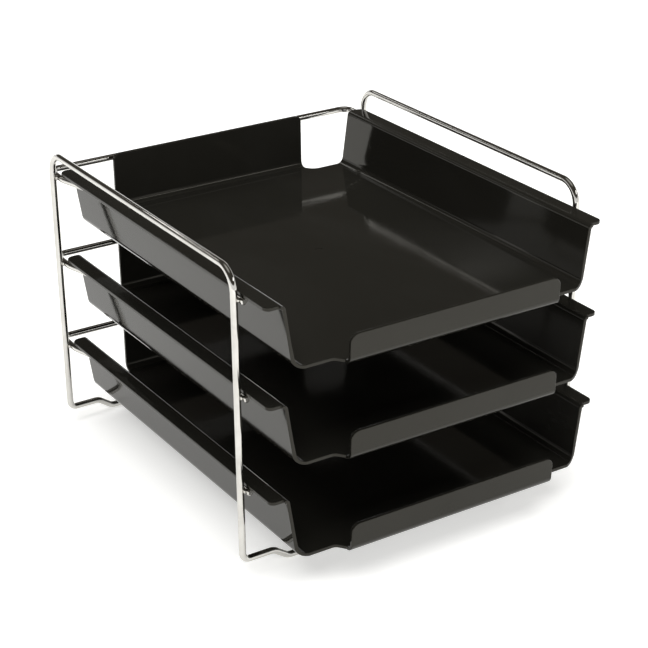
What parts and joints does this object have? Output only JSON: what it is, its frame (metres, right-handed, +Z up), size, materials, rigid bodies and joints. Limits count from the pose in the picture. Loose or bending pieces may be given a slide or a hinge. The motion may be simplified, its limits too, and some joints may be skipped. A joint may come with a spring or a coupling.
{
  "type": "sliding letter tray stack",
  "caption": "Desktop stack of black open-fronted letter trays that hang by their side flanges on the wire rails of a bright bent-wire stand and slide forward.",
  "frame": {"origin": "on the desk, below the middle of the stack's box", "axes": "+Z up, -Y towards the user (the trays' open, low-lipped fronts), +X to the right as seen from the front"},
  "size_m": [0.276, 0.3362, 0.2197],
  "materials": {
    "bright_wire": "polished",
    "tray_plastic": "gloss"
  },
  "bodies": {
    "stand": {"left_side_frame": "bright_wire", "right_side_frame": "bright_wire", "front_foot_wire": "bright_wire", "rear_foot_wire": "bright_wire", "bottom_rail_wire": "bright_wire", "middle_rail_wire": "bright_wire", "top_rail_wire": "bright_wire"},
    "bottom_tray": {"bottom_tray": "tray_plastic"},
    "middle_tray": {"middle_tray": "tray_plastic"},
    "top_tray": {"top_tray": "tray_plastic"}
  },
  "joints": [
    {"name": "bottom_tray_slide", "type": "slide", "parent": "stand", "child": "bottom_tray", "axis": [0, -1, 0], "range_m": [0, 0.11]},
    {"name": "middle_tray_slide", "type": "slide", "parent": "stand", "child": "middle_tray", "axis": [0, -1, 0], "range_m": [0, 0.11]},
    {"name": "top_tray_slide", "type": "slide", "parent": "stand", "child": "top_tray", "axis": [0, -1, 0], "range_m": [0, 0.11]}
  ]
}
